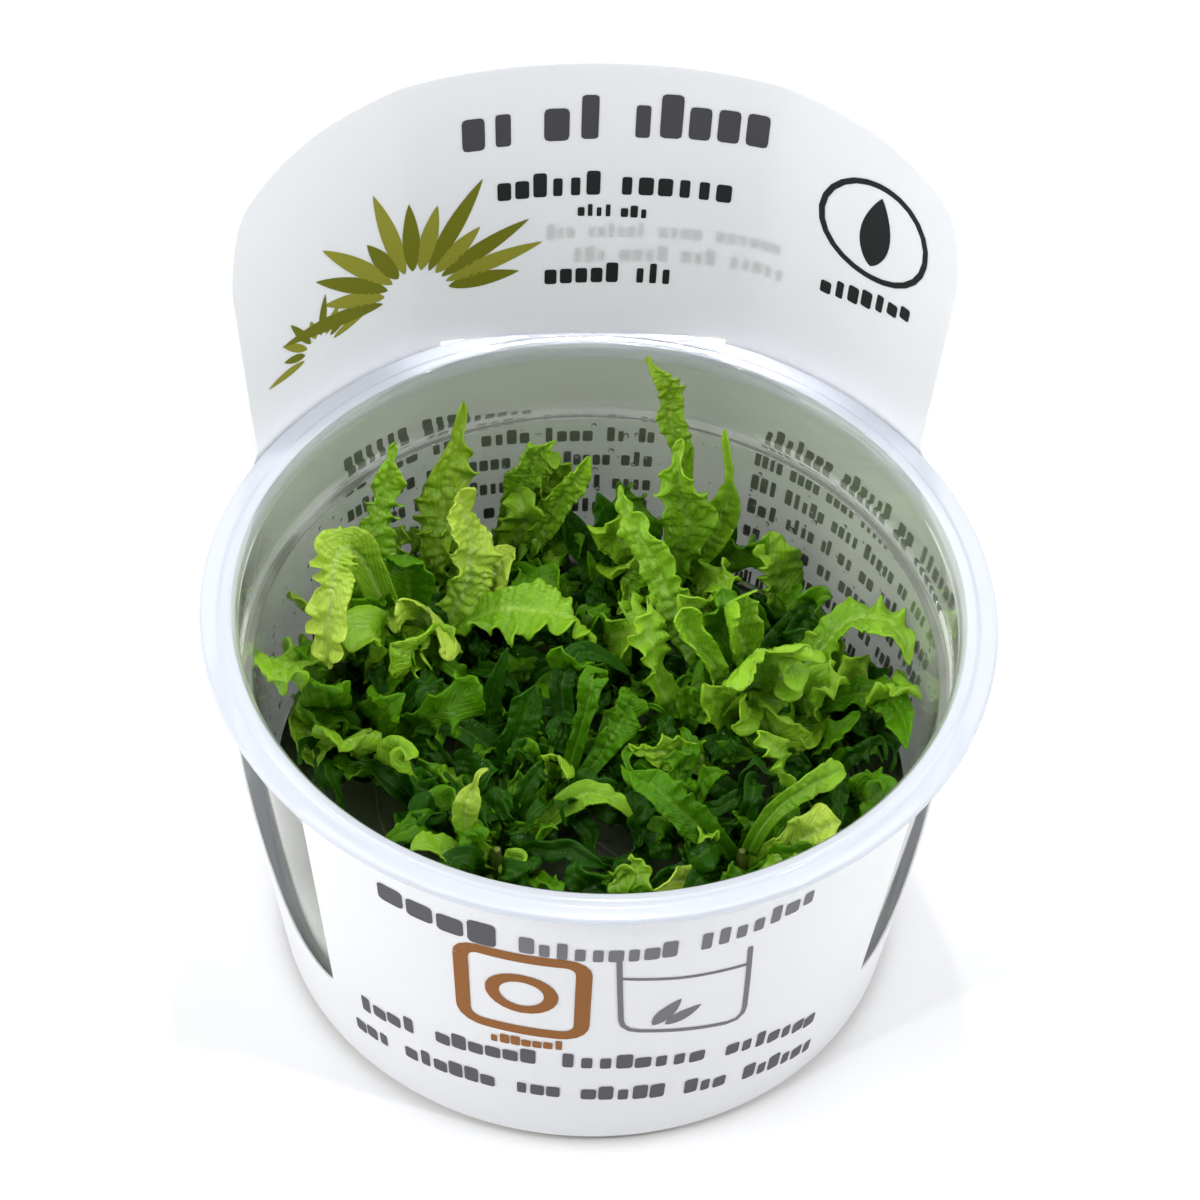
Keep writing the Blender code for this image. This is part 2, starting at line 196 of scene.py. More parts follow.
def turnRings(rings, sides):
    # a circle, extruded and scaled ring by ring round the cup's axis, closed at both ends
    clearSelection()
    radius, height = rings[0]
    bpy.ops.mesh.primitive_circle_add(vertices=sides, radius=radius * mm, location=(0, 0, height * mm))
    piece = bpy.context.object
    bpy.ops.object.mode_set(mode="EDIT")
    bpy.ops.mesh.select_mode(type="EDGE")
    bpy.ops.mesh.select_all(action="SELECT")
    for r, z in rings[1:]:
        bpy.ops.mesh.extrude_edges_move(TRANSFORM_OT_translate={"value": (0, 0, (z - height) * mm)})
        bpy.ops.transform.resize(value=(r / radius, r / radius, 1), center_override=(0, 0, z * mm))
        radius, height = r, z
    bpy.ops.mesh.edge_face_add()
    bpy.ops.mesh.select_all(action="DESELECT")
    bpy.ops.mesh.select_non_manifold(
        use_wire=False, use_multi_face=False, use_non_contiguous=False, use_verts=False)
    bpy.ops.mesh.edge_face_add()
    bpy.ops.mesh.select_all(action="SELECT")
    bpy.ops.mesh.normals_make_consistent(inside=False)
    bpy.ops.object.mode_set(mode="OBJECT")
    return piece


# polypropylene, injection moulded, softly glossy: (colour, roughness, share of light let through)
plastics = {
    "clear": ("#EFF4E4", 0.04, 0.93),  # the thin wall: see-through, faintly milky and cool
    "milky": ("#F0F5FF", 0.1, 0.36),  # the flange, thick and cooled slowly: milky, bluish white
    "hazyHighlight": ("#F4F8F0", 0.06, 0.8),  # the ledge, a little thicker than the wall: faintly milky, a painted highlight that shows as a light line along the ledge
    "deep": ("#70775A", 0.08, 0.5),  # the foot, thick and seen edge on: painted shade, olive and dark, standing in for the shadow at the base and the plants that show through it
}
plasticLooks = [newMaterial(haze + "Polypropylene", Base_Color=fromHex(colour), Roughness=rough, IOR=1.49,
                            Transmission_Weight=clear)[0]
                for haze, (colour, rough, clear) in plastics.items()]
cupPiece = turnRings(softened(cup["profile"]), cup["sides"])
finishPiece(cupPiece, "cup_shell", plasticLooks[0], ["cup"], 40)
for look in plasticLooks[1:]:
    cupPiece.data.materials.append(look)
for face in cupPiece.data.polygons:
    r, z = math.hypot(face.center.x, face.center.y) / mm, face.center.z / mm
    if z > cup["flangeAbove"] and r > cup["flangeOutside"]:
        face.material_index = 1
    # the ledge's faces: milky, a painted highlight line
    elif cup["ledge"][0] < z < cup["ledge"][1]:
        face.material_index = 2
    # the foot's faces: painted shade, olive and dark
    elif z < cup["footBelow"] and r > cup["footOutside"]:
        face.material_index = 3
print("cup made")

# Sleeve: one die-cut sheet of white film, flat at first, then wrapped round the cup
sleeve = {
    "thickness": 0.35, "bottom": 1.8, "bandTop": 60.7, "baseRadius": 44.3, "leanFront": 0.112,
    "leanRear": 0.166, "leanTab": 0.10, "top": 110.2, "dent": 3.4, "dentAngle": 27.0,
    "slitAngle": 22.4, "slitBottom": 62.4, "slitTop": 64.5, "column": 1.25, "row": 4.0,
    # degrees from the rear between which the flare behind gives way to the close fit in front
    "flareEnds": (80.0, 120.0), "frontEdge": 127.5, "corner": (3.4, 3.0),
    # the slot's edge from the front band down and up to the tab, as (degrees from the rear, height)
    "slot": [(127.5, 17.5), (126, 16.6), (122, 16.2), (116, 17), (110.5, 19.8), (105, 24), (97.5, 30),
             (90, 36), (82.5, 43), (75, 50), (67.5, 56.5), (61, 61.6), (58.5, 64.5)],
    "tab": [(58.5, 93), (57, 98.2), (54.2, 102.9), (48, 105.6), (40, 107.6), (32.3, 108.6), (24, 109.4),
            (12, 110), (0, 110.2)],
}


def sleeveRadius(angle, z):
    # inner radius of the wrapped sheet: close to the cup in front, flaring and dented behind
    angle = abs(angle)
    up = z - sleeve["bottom"]
    front = sleeve["baseRadius"] + sleeve["leanFront"] * up
    rear = sleeve["baseRadius"] + sleeve["leanRear"] * min(up, sleeve["slitBottom"] - sleeve["bottom"])
    rear += sleeve["leanTab"] * max(z - sleeve["slitBottom"], 0.0)
    share = smoothStep(*sleeve["flareEnds"], angle)
    bump = max(0.0, 1 - (angle / sleeve["dentAngle"]) ** 2) ** 1.3
    lift = smoothStep(sleeve["slitBottom"], sleeve["top"], z)
    dent = min(rear - front, sleeve["dent"]) * (1 - 0.2 * lift)
    return front * share + rear * (1 - share) - dent * bump


def onSleeve(angle, z, out=0.0):
    # a place on the sheet, in metres, out mm from its inner face; angle in degrees from the rear
    r = sleeveRadius(angle, z) + out
    turned = math.radians(angle)
    return Vector((r * math.sin(turned), r * math.cos(turned), z)) * mm


def flatShape(outline, name):
    # a filled flat outline, as a mesh, with no edge across it
    clearSelection()
    curve = bpy.data.curves.new(name, "CURVE")
    curve.dimensions, curve.fill_mode = "2D", "BOTH"
    spline = curve.splines.new("POLY")
    spline.points.add(len(outline) - 1)
    for point, (x, y) in zip(spline.points, outline):
        point.co = (x, y, 0, 1)
    spline.use_cyclic_u = True
    shape = bpy.data.objects.new(name, curve)
    bpy.context.scene.collection.objects.link(shape)
    shape.select_set(True)
    bpy.context.view_layer.objects.active = shape
    bpy.ops.object.convert(target="MESH")
    shape = bpy.context.object
    bpy.ops.object.mode_set(mode="EDIT")
    bpy.ops.mesh.select_all(action="SELECT")
    bpy.ops.mesh.remove_doubles(threshold=0.0001)
    bpy.ops.mesh.dissolve_limited(angle_limit=0.01)
    bpy.ops.object.mode_set(mode="OBJECT")
    return shape


def smoothPath(points, steps=5):
    # a smooth curve through the points, from the first to the last
    spots = [Vector(points[0])] + [Vector(point) for point in points] + [Vector(points[-1])]
    path = []
    for a, b, c, d in zip(spots, spots[1:], spots[2:], spots[3:]):
        for k in range(steps):
            t = k / steps
            bend = (2 * a - 5 * b + 4 * c - d) * t ** 2
            path.append(0.5 * (2 * b + (c - a) * t + bend + (3 * b - a - 3 * c + d) * t ** 3))
    return [tuple(spot) for spot in path] + [tuple(points[-1])]


def cutGrid(shape, columns, rows):
    # cuts the flat shape along these angles and heights, so that it can be bent
    bpy.context.view_layer.objects.active = shape
    bpy.ops.object.mode_set(mode="EDIT")
    for x in columns:
        bpy.ops.mesh.select_all(action="SELECT")
        bpy.ops.mesh.bisect(plane_co=(x, 0, 0), plane_no=(1, 0, 0), threshold=0.0001)
    for y in rows:
        bpy.ops.mesh.select_all(action="SELECT")
        bpy.ops.mesh.bisect(plane_co=(0, y, 0), plane_no=(0, 1, 0), threshold=0.0001)
    bpy.ops.object.mode_set(mode="OBJECT")


wide, tall = sleeve["corner"]
corner = []
for degrees in range(0, 91, 10):
    a = math.radians(degrees)
    x, y = sleeve["frontEdge"] + wide * (1 - math.sin(a)), sleeve["bandTop"] - tall * (1 - math.cos(a))
    corner.append((x, y))
slit = [(0, sleeve["slitTop"]), (sleeve["slitAngle"], sleeve["slitTop"]),
        (sleeve["slitAngle"], sleeve["slitBottom"]), (0, sleeve["slitBottom"])]
outline = [(0, sleeve["bottom"]), (180, sleeve["bottom"]), (180, sleeve["bandTop"])] + corner
outline += smoothPath(sleeve["slot"]) + smoothPath(sleeve["tab"]) + slit
blank = flatShape(outline, "sleeve")
cutGrid(blank, [sleeve["column"] * i for i in range(1, 144)],
        [sleeve["bottom"] + sleeve["row"] * i for i in range(1, 27)])
for vert in blank.data.vertices:
    angle, z = vert.co.x, vert.co.y
    vert.co = onSleeve(angle, z)
    if angle < 0.01 or angle > 179.99:
        vert.co.x = 0.0
mirror = blank.modifiers.new("otherHalf", "MIRROR")
mirror.merge_threshold = 0.00001
clearSelection()
blank.select_set(True)
bpy.context.view_layer.objects.active = blank
bpy.ops.object.modifier_apply(modifier="otherHalf")
bpy.ops.object.mode_set(mode="EDIT")
bpy.ops.mesh.select_all(action="SELECT")
bpy.ops.mesh.normals_make_consistent(inside=False)
bpy.ops.object.mode_set(mode="OBJECT")
outward = sum(face.normal.dot(Vector((*face.center.xy, 0.0))) for face in blank.data.polygons)
if outward < 0:
    blank.data.flip_normals()
thicken(blank, sleeve["thickness"], 1.0)

# white polypropylene film, extruded and die-cut: satin white, a little light comes through
whiteFilm, tree, shader = newMaterial("whiteFilm", Base_Color=fromHex("#E9EBF4"), Roughness=0.3, IOR=1.49,
                                      Subsurface_Weight=1.0, Subsurface_Scale=0.0009)
shader.inputs["Subsurface Radius"].default_value = (1.0, 1.0, 1.0)
sleevePiece = finishPiece(blank, "label_sleeve", whiteFilm, ["sleeve"], 35)
print("sleeve made")

# Print: plain blocks, rings and leaf shapes in screen-printed ink, where the real sheet is printed
inkPrint = {
    "inside": -0.035, "outside": 0.40, "thickness": 0.03,  # mm from the sheet's inner face
    "insideRadius": 54.0, "outsideRadius": 48.0,  # the sheet's usual radius on each face's print, in mm
    "arc": 0.85, "fanArc": 0.87,  # mm along the sheet in one degree, for rings and boxes and for fans
}


def wordLine(start, end, heights, size, words, gap=1.5):
    # words of plain blocks between two angles, along a line through its start, middle and end heights
    luck = random.Random(round(start * 7 + heights[0]))
    span = sum(words) + gap * (len(words) - 1)
    stretch = abs(end - start) * 0.88 / span
    strokes, done = [], 0.0
    for word in words:
        count = max(2, round(word / (0.58 * size)))
        for k in range(count):
            s = (done + word * (k + 0.5) / count) / span
            z = heights[0] * (1 - s) * (1 - 2 * s) + heights[1] * 4 * s * (1 - s)
            z += heights[2] * s * (2 * s - 1)
            angle, low = start + (end - start) * s, z - size / 2
            tall = size * luck.choice([0.74, 0.74, 0.74, 1.0])
            wide = word / count * stretch * luck.choice([0.56, 0.82, 0.84])
            strokes.append(([(angle, low), (angle, low + tall)], wide, "block"))
        done += word + gap
    return strokes


def textBlock(seed, start, end, top, spacing, lines, size):
    # lines of small words; the last one stops early
    luck = random.Random(seed)
    strokes = []
    for i in range(lines):
        words = [luck.uniform(1.8, 8.0) for _ in range(7)]
        stop = end if i < lines - 1 else start + (end - start) * 0.6
        z = top - spacing * i
        strokes += wordLine(start, stop, (z, z, z), size, words, 1.3)
    return strokes


def roundedBox(left, right, low, high, corner):
    # a closed path of degrees and mm with rounded corners, corner in mm
    points = []
    for cx, cz, first in ((right, high, 0), (left, high, 90), (left, low, 180), (right, low, 270)):
        inX = (-corner if cx == right else corner) / inkPrint["arc"]
        inZ = -corner if cz == high else corner
        for k in range(5):
            a = math.radians(first + 22.5 * k)
            x = cx + inX + math.cos(a) * corner / inkPrint["arc"]
            points.append((x, cz + inZ + math.sin(a) * corner))
    return points + points[:1]


def ring(angle, z, radius):
    turns = [math.radians(15 * k) for k in range(25)]
    return [(angle + math.cos(a) * radius / inkPrint["arc"], z + math.sin(a) * radius) for a in turns]


def fan(angle, z, start, size, width, count, lean=0.0):
    # a fan of pointed leaves round a foot; each is a straight path from start mm to its own length
    strokes = []
    for i in range(count):
        way = math.radians(lean - 80 + 160 * i / (count - 1))
        reach = size * (0.82 + 0.18 * math.cos(i * 2.4))
        side, up = math.sin(way) / inkPrint["fanArc"], math.cos(way)
        ends = [(angle + side * r, z + up * r) for r in (start, reach)]
        strokes.append((ends, width, "leaf"))
    return strokes


sprig = fan(-26, 73.5, 4.6, 21, 2.5, 13) + fan(-43, 72, 2.6, 9.5, 1.3, 9, -8)
inkMarks = {
    # ink: (face of the sheet, colour, strokes); a stroke is (path in degrees and mm up, width in mm, ends)
    "greyInk": ("inside", "#4B4A4F", wordLine(-18.5, 25.5, (100.3, 101.6, 102.2), 7.2, [8, 9, 19], 3.0)),
    "blackInk": ("inside", "#242428",
                 wordLine(-13.5, 21.2, (90.0, 90.6, 90.4), 4.0, [14, 15], 2.0)
                 + wordLine(-1.5, 9.2, (86.0, 85.9, 85.7), 2.0, [5, 4], 1.0)
                 + wordLine(-6.5, 13.5, (75.0, 75.3, 75.2), 3.4, [10, 5], 1.8)
                 + [(ring(43, 92.4, 7.6), 0.9, "closed"), ([(43, 86.6), (43, 98.2)], 4.8, "leaf")]
                 + wordLine(35.5, 51.5, (79.6, 80.9, 83.4), 2.8, [12], 1.2)),
    "backInk": ("outside", "#3A3A40",
                wordLine(-6.0, 29.0, (82.2, 82.6, 82.4), 2.5, [4, 8, 6, 9], 1.6)
                + wordLine(-2.0, 30.0, (78.2, 78.6, 78.2), 2.7, [5, 7, 5, 8], 1.6)),
    "oliveInk": ("inside", "#777A1C", sprig[::2]),
    "mossInk": ("inside", "#9A9A35", sprig[1::2]),
    "textInk": ("inside", "#686A6C",
                wordLine(-42, -8, (50.6, 50.8, 50.4), 3.0, [11, 16], 2.0)
                + textBlock(3, -43, 13, 46.2, 4.5, 7, 2.6)
                + wordLine(31, 78, (50.2, 50.0, 49.4), 3.0, [12, 10, 4, 11], 1.8)
                + textBlock(5, 30, 78, 45.6, 4.3, 6, 2.6)),
    "labelInk": ("outside", "#4A4A4F",
                 wordLine(-142.5, -162.5, (54.4, 53.6, 52.8), 5.4, [13], 2.0)
                 + wordLine(-134.5, -220.0, (18.4, 23.4, 16.8), 3.7, [9, 13, 18, 14], 2.6)
                 + wordLine(-132.5, -221.5, (11.5, 14.6, 8.6), 3.7, [6, 13, 6, 11, 6, 12], 2.4)),
    "lightInk": ("outside", "#6C6B71",
                 wordLine(-165.5, -211.5, (52.6, 52.2, 55.4), 3.9, [20, 16], 2.4)
                 + [([(-180.6, 51.0), (-181.2, 42.0), (-181.8, 33.8), (-182.6, 32.2), (-184.4, 31.5),
                      (-193.0, 29.9), (-200.6, 28.6), (-202.2, 29.2), (-202.6, 31.0), (-202.0, 39.0),
                      (-201.2, 48.0)], 0.75, "round"),
                    ([(-181.0, 45.6), (-191.0, 44.2), (-201.4, 43.4)], 0.6, "round"),
                    ([(-187.0, 32.6), (-191.0, 38.6)], 2.4, "leaf"),
                    ([(-189.0, 32.4), (-194.5, 36.0)], 2.2, "leaf")]),
    "amberInk": ("outside", "#8A5200",
                 [(roundedBox(-175.6, -156.4, 30.2, 49.0, 2.6), 2.1, "closed"),
                  (ring(-166, 39.8, 4.0), 1.9, "closed")]
                 + wordLine(-160.5, -173.0, (26.7, 27.1, 27.4), 2.3, [9], 1.0)),
}


def pathPlace(path, t):
    # a point and its direction at the share t of a path
    steps = [(Vector(b) - Vector(a)).length for a, b in zip(path, path[1:])]
    left = t * sum(steps)
    for (a, b), step in zip(zip(path, path[1:]), steps):
        if left <= step or b is path[-1]:
            break
        left -= step
    a, b = Vector(a), Vector(b)
    return a + (b - a) * min(left / max(step, 1e-9), 1.0), (b - a).normalized()


def inkStroke(path, width, ends, face):
    # a strip along a path on the sheet, rounded or pointed at its ends, as thick as ink
    degree = math.radians(1) * inkPrint[face + "Radius"]  # mm of arc to a degree
    flat = [(a * degree, z) for a, z in path]
    length = sum((Vector(b) - Vector(a)).length for a, b in zip(flat, flat[1:]))
    strip = gridCopy(8 if ends == "block" else max(16, int(length)), 2)
    for vert in strip.data.vertices:
        u = vert.co.x if ends == "closed" else math.sin(vert.co.x * math.pi / 2)
        t = (u + 1) / 2
        spot, way = pathPlace(flat, t)
        half = width / 2
        if ends in ("round", "block"):
            rest = min(t, 1 - t) * length
            corner = half * (1.0 if ends == "round" else 0.4)
            half += corner * (math.sqrt(max(0.0, 1 - max(0.0, 1 - rest / corner) ** 2)) - 1)
        elif ends == "leaf":
            half *= max(0.02, math.sin(math.pi * t ** 0.8)) ** 0.8
        spot = spot + Vector((-way.y, way.x)) * (vert.co.y * half)
        vert.co = onSleeve(spot.x / degree, spot.y, inkPrint[face])
    return strip


for name, (face, colour, strokes) in inkMarks.items():
    # screen-printed ink: thin, even and slightly satin
    ink = newMaterial(name, Base_Color=fromHex(colour), Roughness=0.5, Specular_IOR_Level=0.25)[0]
    printed = joinPieces([inkStroke(*stroke, face) for stroke in strokes])
    finishPiece(thicken(printed, inkPrint["thickness"]), "print_" + name, ink, (), 30)
print("print made")

# Jelly: clear growing jelly, with a small meniscus at the wall
jelly = {"sides": 128,
         "profile": [(0.6, 1.62, 0), (40.9, 1.62, 0.8), (42.72, 3.4, 0.9), (44.84, 26.4, 0.15),
                     (44.2, 25.5, 0.6), (42.6, 25.0, 1.2), (0.6, 25.0, 0)]}
# agar jelly, poured: clear, grey-green with depth, a wet smooth top
clearJelly, tree, shader = newMaterial(
    "agarJelly", Base_Color=fromHex("#D3E2BE"), Roughness=0.02, IOR=1.34, Transmission_Weight=0.95)
absorb = addNode(tree, "ShaderNodeVolumeAbsorption", {"Color": fromHex("#9FB48C"), "Density": 30.0})
tree.links.new(absorb.outputs["Volume"], tree.nodes["Material Output"].inputs["Volume"])
jellyPiece = turnRings(softened(jelly["profile"]), jelly["sides"])
finishPiece(jellyPiece, "jelly_layer", clearJelly, ["jelly"], 40)
print("jelly made")

# Plantlets: crowns in the jelly, each with its leaves
crowns = {"left": (-26, 21), "back_left": (-12, 37), "back": (12, 33), "right": (24, 9), "centre": (-4, -4),
          "front_left": (-14, -17), "front_right": (20, -18)}
crownForm = {"foot": 26.2, "waist": 28.6, "narrowsOver": 3.2, "leavesFrom": 26.0, "leavesOver": 5.4}

# leaf: crown, tip in mm, arch above the straight line to the tip, bow to its left, where along it
# the arch is highest, width, the way its upper side faces, ruffle, tone
leaves = {
    "left_arching": ("left", (-37, 5, 45), 21, -4, 0.7, 5.5, "front", 1.2, "pale"),
    "left_upright": ("left", (-27, 36, 58), 3, 3, 0.7, 5.5, "front", 0.8, "lime"),
    "left_tall": ("left", (-17, 43, 59), -3, 0, 0.7, 6.0, "front", 0.9, "olive"),
    "left_curled": ("left", (-20, 33, 52), 2, -6, 1.0, 5.5, "front", 1.3, "pale"),
    "left_narrow": ("left", (-10, 30, 42), 1, -1, 1.0, 4.0, "up", 1.0, "pale"),
    "left_folded": ("left", (-25, 26, 48), 3, 0, 0.7, 7.0, "front", 0.5, "mid"),
    "left_hood": ("left", (-22, 18, 44), 4, -1, 0.7, 10.0, "front", 1.0, "pale"),
    "left_broad": ("left", (1, 15, 38.5), 8, 1, 1.1, 8.0, "up", 1.3, "lime"),
    "left_wall": ("left", (-45, 0, 49), 1, -3, 0.7, 7.5, "up", 1.0, "lime"),
    "left_front": ("left", (-39, -2, 32), 2, -5, 1.0, 6.5, "front", 1.2, "lime"),
    "left_speckled": ("left", (-23, 8, 33), 0, -2, 0.7, 5.5, "front", 1.2, "olive"),
    "left_shaded": ("left", (-42, 16, 48), -2, -2, 0.7, 8.0, "up", 0.8, "olive"),
    "back_left_long": ("back_left", (-5, 38, 56), 5, 2, 0.7, 4.5, "front", 0.8, "lime"),
    "back_left_split": ("back_left", (-5, 40, 46), 1, 2, 0.7, 4.5, "front", 0.5, "lime"),
    "back_left_side": ("back_left", (1, 38, 53), 0, 0, 0.7, 3.5, "front", 0.9, "lime"),
    "back_left_low": ("back_left", (0, 37, 33), 2, 3, 0.7, 6.0, "up", 0.3, "dark"),
    "back_tall": ("back", (9, 45, 66), 10, -3, 0.7, 5.0, "front", 0.7, "olive"),
    "back_star": ("back", (13, 33, 61), 0, -2, 0.7, 7.5, "front", 1.2, "lime"),
    "back_side": ("back", (20, 39, 57), -2, -4, 1.5, 5.5, "front", 0.8, "lime"),
    "back_dark": ("back", (22, 37, 41), -3, 0, 0.7, 6.0, "front", 0.3, "dark"),
    "back_strap": ("back", (-4, 40, 40), -1, 1, 0.7, 5.0, "front", 0.2, "dark"),
    "back_blade": ("back", (2, 37, 46), -2, 2, 0.7, 5.5, "front", 0.2, "dark"),
    "back_low": ("back", (1, 33, 38), -5, 3, 1.5, 4.0, "front", 0.5, "mid"),
    "back_curl": ("back", (5, 24, 34), 5, -1, 0.7, 3.0, "front", 1.0, "lime"),
    "right_long": ("right", (5, 33, 52), 1, 2, 0.7, 6.5, "front", 0.7, "lime"),
    "right_spoon": ("right", (12, 14, 48), 1, 2, 0.7, 4.0, "front", 0.5, "lime"),
    "right_hooded": ("right", (18, 15, 49), 1, -1, 0.7, 4.5, "front", 0.8, "lime"),
    "right_crinkled": ("right", (23, 4, 52), -1, 0, 0.7, 10.0, "front", 1.3, "lime"),
    "right_reaching": ("right", (45, 6, 43), 6, 7, 1.5, 6.0, "up", 0.8, "lime"),
    "right_broad": ("right", (33, 22, 38), -2, 0, 0.7, 10.0, "front", 0.3, "dark"),
    "right_dark": ("right", (43, 10, 37), -1, 1, 0.7, 6.0, "up", 0.2, "dark"),
    "right_outer": ("right", (43, -7, 40), 3, 7, 1.5, 5.5, "up", 0.8, "mid"),
    "right_wavy": ("right", (38, 2, 37), -2, -3, 1.0, 5.0, "up", 0.9, "mid"),
    "right_forward": ("right", (5, -3, 37), 0, 4, 0.7, 5.5, "front", 1.0, "lime"),
    "centre_blade": ("centre", (-8, 4, 42), -2, 5, 0.7, 6.5, "front", 0.2, "dark"),
    "centre_hooked": ("centre", (-1, 7, 33), 12, -2, 1.5, 3.5, "front", 0.4, "mid"),
    "centre_arch": ("centre", (6, 9, 38), 6, 7, 1.5, 4.5, "front", 0.2, "dark"),
    "centre_ruffled": ("centre", (6, 6, 38), 3, -2, 0.7, 4.0, "front", 1.0, "mid"),
    "centre_forked": ("centre", (-5, -7, 40), 0, -1, 0.7, 5.0, "front", 0.5, "lime"),
    "centre_shade": ("centre", (-12, 13, 40), -6, 5, 1.5, 4.0, "front", 0.3, "dark"),
    "centre_left": ("centre", (-28, -4, 31), 0, -2, 0.7, 5.5, "front", 0.2, "dark"),
    "centre_low": ("centre", (-25, 1, 36), 1, -3, 1.5, 4.5, "front", 0.2, "dark"),
    "front_left_hoop": ("front_left", (5, -14, 34), 5, 4, 1.5, 4.0, "up", 0.3, "lime"),
    "front_left_blade": ("front_left", (-16, -11, 43), 2, 3, 0.7, 4.5, "front", 0.3, "pale"),
    "front_left_rim": ("front_left", (-26, -22, 38), 1, 0, 0.7, 5.5, "up", 0.5, "lime"),
    "front_right_big": ("front_right", (4, -13, 43), 3, 1, 0.7, 6.0, "front", 0.2, "mid"),
    "front_right_thin": ("front_right", (34, -13, 43), 5, 0, 0.7, 3.5, "front", 0.3, "lime"),
    "front_right_pale": ("front_right", (33, -20, 40), 1, 0, 0.7, 5.5, "front", 0.5, "pale"),
    "front_right_low": ("front_right", (7, -26, 34), 1, 0, 0.7, 4.0, "front", 0.4, "pale"),
}

# leaf blades, grown in jelly: (blade, towards the tip, midrib)
leafTones = {
    "pale": ("#72A818", "#BEDC50", "#D2E68A"),
    "lime": ("#50880C", "#90C22A", "#B0D65C"),
    "olive": ("#528A10", "#96BC2C", "#B2CC54"),
    "mid": ("#316605", "#568E0E", "#7AA832"),
    "dark": ("#153C02", "#285908", "#487A1A"),
}


def leafMaterial(tone, blade, tip, rib):
    # living leaf: wet and waxy, paler along the midrib, the margin and the tip, puffed between fine veins
    made, tree, shader = newMaterial("leaf" + tone.capitalize(), Roughness=0.14, IOR=1.42,
                                     Subsurface_Weight=0.3, Subsurface_Scale=0.0012)
    shader.inputs["Subsurface Radius"].default_value = (0.8, 1.0, 0.2)
    shader.inputs["Specular IOR Level"].default_value = 0.2 if tone in ("dark", "mid") else 0.36
    place = addNode(tree, "ShaderNodeUVMap")
    parts = addNode(tree, "ShaderNodeSeparateXYZ", links={0: place.outputs[0]})
    across = addNode(tree, "ShaderNodeMath", {"operation": "SUBTRACT", 1: 0.5}, {0: parts.outputs["Y"]})
    across = addNode(tree, "ShaderNodeMath", {"operation": "ABSOLUTE"}, {0: across.outputs[0]})
    ribShape = addNode(tree, "ShaderNodeMapRange",
                       {"From Min": 0.13, "From Max": 0.0, "interpolation_type": "SMOOTHSTEP"},
                       {"Value": across.outputs[0]})
    slope = addNode(tree, "ShaderNodeMath", {"operation": "MULTIPLY", 1: -0.55}, {0: across.outputs[0]})
    run = addNode(tree, "ShaderNodeMath", {"operation": "ADD"},
                  {0: parts.outputs["X"], 1: slope.outputs[0]})
    body = addNode(tree, "ShaderNodeTexCoord")
    blotch = addNode(tree, "ShaderNodeTexNoise", {"Scale": 260.0, "Detail": 4.0},  # about 4 mm across
                     {"Vector": body.outputs["Object"]})
    bent = addNode(tree, "ShaderNodeMath", {"operation": "MULTIPLY_ADD", 1: 0.06},
                   {0: blotch.outputs[0], 2: run.outputs[0]})
    # 17 to 18 pairs of side veins on a leaf, at most 3 mm apart, drawn wider than they are so that they show
    veins = addNode(tree, "ShaderNodeMath", {"operation": "MULTIPLY", 1: 110.0}, {0: bent.outputs[0]})
    veins = addNode(tree, "ShaderNodeMath", {"operation": "SINE"}, {0: veins.outputs[0]})
    veinShape = addNode(tree, "ShaderNodeMapRange", {"From Min": 0.3, "From Max": 1.0},
                        {"Value": veins.outputs[0]})
    along = addNode(tree, "ShaderNodeMath", {"operation": "MULTIPLY_ADD", 1: 0.4},
                    {0: blotch.outputs[0], 2: parts.outputs["X"]})
    along = addNode(tree, "ShaderNodeMath", {"operation": "MULTIPLY_ADD", 1: 0.5},
                    {0: across.outputs[0], 2: along.outputs[0]})
    fade = addNode(tree, "ShaderNodeMapRange", {"From Min": 0.3, "From Max": 1.35},
                   {"Value": along.outputs[0]})
    flesh = addNode(tree, "ShaderNodeMix", {"data_type": "RGBA", 6: fromHex(blade), 7: fromHex(tip)},
                    {0: fade.outputs[0]})
    veined = addNode(tree, "ShaderNodeMath", {"operation": "MULTIPLY", 1: 0.08}, {0: veinShape.outputs[0]})
    flesh = addNode(tree, "ShaderNodeMix", {"data_type": "RGBA", 7: fromHex(rib)},
                    {0: veined.outputs[0], 6: flesh.outputs[2]})
    ribbed = addNode(tree, "ShaderNodeMath", {"operation": "MULTIPLY", 1: 0.45}, {0: ribShape.outputs[0]})
    flesh = addNode(tree, "ShaderNodeMix", {"data_type": "RGBA", 7: fromHex(rib)},
                    {0: ribbed.outputs[0], 6: flesh.outputs[2]})
    tree.links.new(flesh.outputs[2], shader.inputs["Base Color"])
    crinkle = addNode(tree, "ShaderNodeTexNoise", {"Scale": 1100.0, "Detail": 3.0},  # about 0.9 mm across
                      {"Vector": body.outputs["Object"]})
    sunk = addNode(tree, "ShaderNodeMath", {"operation": "MULTIPLY", 1: 0.35}, {0: veinShape.outputs[0]})
    height = addNode(tree, "ShaderNodeMath", {"operation": "SUBTRACT"},
                     {0: crinkle.outputs[0], 1: sunk.outputs[0]})
    bump = addNode(tree, "ShaderNodeBump", {"Strength": 0.55, "Distance": 0.0004},
                   {"Height": height.outputs[0]})
    tree.links.new(bump.outputs[0], shader.inputs["Normal"])
    return made


leafLooks = {tone: leafMaterial(tone, *colours) for tone, colours in leafTones.items()}


def crownRadius(z):
    # a crown narrows from its foot to its waist and on to its top
    if z > crownForm["waist"]:
        return 0.9 - 0.4 * (z - crownForm["waist"]) / crownForm["narrowsOver"]
    return 1.3 - 0.4 * (z - crownForm["foot"]) / (crownForm["waist"] - crownForm["foot"])


def leafSpine(base, tip, arch, bow, late, t):
    along = tip - base
    side = Vector((-along.y, along.x, 0.0)).normalized()
    s = t ** late
    hump = 4 * s * (1 - s)
    return base + along * t + Vector((0, 0, 1)) * (arch * hump) + side * (bow * hump)


